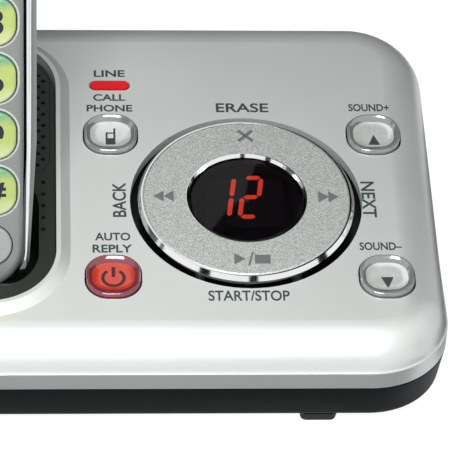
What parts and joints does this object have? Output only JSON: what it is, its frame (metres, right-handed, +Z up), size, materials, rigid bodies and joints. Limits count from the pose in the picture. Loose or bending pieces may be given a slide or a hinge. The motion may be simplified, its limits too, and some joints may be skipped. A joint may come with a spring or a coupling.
{
  "type": "answering machine",
  "caption": "Cordless telephone answering machine: base with sloping key panel, round four-way key and digit display, and a handset standing in a speaker cradle",
  "frame": {"origin": "middle of the footprint on the table", "axes": "+X right, +Y to the back, +Z up, seen from the front"},
  "size_m": [0.1524, 0.095, 0.1641],
  "materials": {
    "silver_cover": "satin metallic silver paint",
    "dark_tray": "fine-grained dark grey moulding",
    "foot_rubber": "soft black rubber",
    "screw_steel": "plain steel",
    "black_insert": "fine-grained black moulding",
    "contact_metal": "bright spring metal",
    "speaker_steel": "pressed steel",
    "speaker_paper": "treated paper",
    "circuit_board": "green solder mask",
    "black_component": "plain black plastic",
    "lit_red": "glowing red",
    "dark_lens": "polished smoked lens",
    "chrome_rim": "bright chrome",
    "red_lamp": "clear red moulding",
    "tin_can": "tinned metal",
    "gimbal_plastic": "plain moulding",
    "grained_silver": "coarse-grained silver",
    "clear_silver_key": "clear cap over silver",
    "orange_key": "clear orange-red cap",
    "handset_silver": "satin metallic silver paint",
    "handset_grey": "satin grey paint",
    "cell_green": "shrink sleeve",
    "display_glass": "liquid crystal glass",
    "glow_key": "translucent, lit from behind",
    "silver_key": "satin silver",
    "call_green": "translucent",
    "call_red": "translucent"
  },
  "bodies": {
    "base": {"top_cover": "silver_cover", "base_tray": "dark_tray", "rubber_feet": "foot_rubber", "case_screws": "screw_steel", "cradle_insert": "black_insert", "speaker_grille": "black_insert", "charge_contacts": "contact_metal", "speaker_frame": "speaker_steel", "speaker_cone": "speaker_paper", "key_board": "circuit_board", "tact_switches": "black_component", "display_module": "black_component", "lit_digits": "lit_red", "display_lens": "dark_lens", "display_holder": "black_component", "lamp_lens": "red_lamp", "main_board": "circuit_board", "radio_shield": "tin_can", "processor": "black_component", "capacitors": "tin_can", "power_socket": "black_component", "line_socket": "black_component"},
    "ring_gimbal": {"ring_gimbal": "gimbal_plastic"},
    "ring": {"ring_key": "grained_silver", "ring_trim": "chrome_rim", "ring_liner": "chrome_rim"},
    "locate_button": {"locate_button": "clear_silver_key"},
    "power_button": {"power_button": "orange_key"},
    "volume_up_button": {"volume_up_button": "clear_silver_key"},
    "volume_down_button": {"volume_down_button": "clear_silver_key"},
    "handset": {"handset_front": "handset_silver", "handset_trim": "chrome_rim", "handset_back": "handset_grey", "battery_cells": "cell_green", "handset_contacts": "contact_metal", "handset_board": "circuit_board", "handset_display": "display_glass", "handset_window": "dark_lens", "earpiece": "black_component", "microphone": "black_component"},
    "battery_door": {"battery_door": "handset_grey"},
    "key_star": {"key_star": "glow_key"},
    "key_0": {"key_0": "glow_key"},
    "key_hash": {"key_hash": "glow_key"},
    "key_7": {"key_7": "glow_key"},
    "key_8": {"key_8": "glow_key"},
    "key_9": {"key_9": "glow_key"},
    "key_4": {"key_4": "glow_key"},
    "key_5": {"key_5": "glow_key"},
    "key_6": {"key_6": "glow_key"},
    "key_1": {"key_1": "glow_key"},
    "key_2": {"key_2": "glow_key"},
    "key_3": {"key_3": "glow_key"},
    "lower_left_key": {"lower_left_key": "silver_key"},
    "lower_right_key": {"lower_right_key": "silver_key"},
    "talk_key": {"talk_key": "call_green"},
    "end_key": {"end_key": "call_red"},
    "left_soft_key": {"left_soft_key": "silver_key"},
    "right_soft_key": {"right_soft_key": "silver_key"},
    "navigation_key": {"navigation_key": "silver_key"}
  },
  "joints": [
    {"name": "ring_rock_up_down", "type": "hinge", "parent": "base", "child": "ring_gimbal", "pos_m": [0.037, -0.00771, 0.02172], "axis": [1, 0, 0], "range_deg": [-2, 2], "stiffness_Nm_per_rad": 0.6},
    {"name": "ring_rock_left_right", "type": "hinge", "parent": "ring_gimbal", "child": "ring", "pos_m": [0.037, -0.00771, 0.02172], "axis": [0, 0.9925, 0.1219], "range_deg": [-2, 2], "stiffness_Nm_per_rad": 0.6},
    {"name": "locate_button_press", "type": "slide", "parent": "base", "child": "locate_button", "axis": [0, 0.1219, -0.9925], "range_m": [0, 0.0008], "stiffness_N_per_m": 900},
    {"name": "power_button_press", "type": "slide", "parent": "base", "child": "power_button", "axis": [0, 0.1219, -0.9925], "range_m": [0, 0.0008], "stiffness_N_per_m": 900},
    {"name": "volume_up_button_press", "type": "slide", "parent": "base", "child": "volume_up_button", "axis": [0, 0.1219, -0.9925], "range_m": [0, 0.0008], "stiffness_N_per_m": 900},
    {"name": "volume_down_button_press", "type": "slide", "parent": "base", "child": "volume_down_button", "axis": [0, 0.1219, -0.9925], "range_m": [0, 0.0008], "stiffness_N_per_m": 900},
    {"name": "handset_lift", "type": "slide", "parent": "base", "child": "handset", "axis": [0, 0.342, 0.9397], "range_m": [0, 0.1]},
    {"name": "battery_door_slide", "type": "slide", "parent": "handset", "child": "battery_door", "axis": [0, -0.342, -0.9397], "range_m": [0, 0.01]},
    {"name": "key_star_press", "type": "slide", "parent": "handset", "child": "key_star", "axis": [0, 0.9397, -0.342], "range_m": [0, 0.0006], "stiffness_N_per_m": 1200},
    {"name": "key_0_press", "type": "slide", "parent": "handset", "child": "key_0", "axis": [0, 0.9397, -0.342], "range_m": [0, 0.0006], "stiffness_N_per_m": 1200},
    {"name": "key_hash_press", "type": "slide", "parent": "handset", "child": "key_hash", "axis": [0, 0.9397, -0.342], "range_m": [0, 0.0006], "stiffness_N_per_m": 1200},
    {"name": "key_7_press", "type": "slide", "parent": "handset", "child": "key_7", "axis": [0, 0.9397, -0.342], "range_m": [0, 0.0006], "stiffness_N_per_m": 1200},
    {"name": "key_8_press", "type": "slide", "parent": "handset", "child": "key_8", "axis": [0, 0.9397, -0.342], "range_m": [0, 0.0006], "stiffness_N_per_m": 1200},
    {"name": "key_9_press", "type": "slide", "parent": "handset", "child": "key_9", "axis": [0, 0.9397, -0.342], "range_m": [0, 0.0006], "stiffness_N_per_m": 1200},
    {"name": "key_4_press", "type": "slide", "parent": "handset", "child": "key_4", "axis": [0, 0.9397, -0.342], "range_m": [0, 0.0006], "stiffness_N_per_m": 1200},
    {"name": "key_5_press", "type": "slide", "parent": "handset", "child": "key_5", "axis": [0, 0.9397, -0.342], "range_m": [0, 0.0006], "stiffness_N_per_m": 1200},
    {"name": "key_6_press", "type": "slide", "parent": "handset", "child": "key_6", "axis": [0, 0.9397, -0.342], "range_m": [0, 0.0006], "stiffness_N_per_m": 1200},
    {"name": "key_1_press", "type": "slide", "parent": "handset", "child": "key_1", "axis": [0, 0.9397, -0.342], "range_m": [0, 0.0006], "stiffness_N_per_m": 1200},
    {"name": "key_2_press", "type": "slide", "parent": "handset", "child": "key_2", "axis": [0, 0.9397, -0.342], "range_m": [0, 0.0006], "stiffness_N_per_m": 1200},
    {"name": "key_3_press", "type": "slide", "parent": "handset", "child": "key_3", "axis": [0, 0.9397, -0.342], "range_m": [0, 0.0006], "stiffness_N_per_m": 1200},
    {"name": "lower_left_key_press", "type": "slide", "parent": "handset", "child": "lower_left_key", "axis": [0, 0.9397, -0.342], "range_m": [0, 0.0006], "stiffness_N_per_m": 1200},
    {"name": "lower_right_key_press", "type": "slide", "parent": "handset", "child": "lower_right_key", "axis": [0, 0.9397, -0.342], "range_m": [0, 0.0006], "stiffness_N_per_m": 1200},
    {"name": "talk_key_press", "type": "slide", "parent": "handset", "child": "talk_key", "axis": [0, 0.9397, -0.342], "range_m": [0, 0.0006], "stiffness_N_per_m": 1200},
    {"name": "end_key_press", "type": "slide", "parent": "handset", "child": "end_key", "axis": [0, 0.9397, -0.342], "range_m": [0, 0.0006], "stiffness_N_per_m": 1200},
    {"name": "left_soft_key_press", "type": "slide", "parent": "handset", "child": "left_soft_key", "axis": [0, 0.9397, -0.342], "range_m": [0, 0.0006], "stiffness_N_per_m": 1200},
    {"name": "right_soft_key_press", "type": "slide", "parent": "handset", "child": "right_soft_key", "axis": [0, 0.9397, -0.342], "range_m": [0, 0.0006], "stiffness_N_per_m": 1200},
    {"name": "navigation_key_press", "type": "slide", "parent": "handset", "child": "navigation_key", "axis": [0, 0.9397, -0.342], "range_m": [0, 0.0006], "stiffness_N_per_m": 1200}
  ]
}
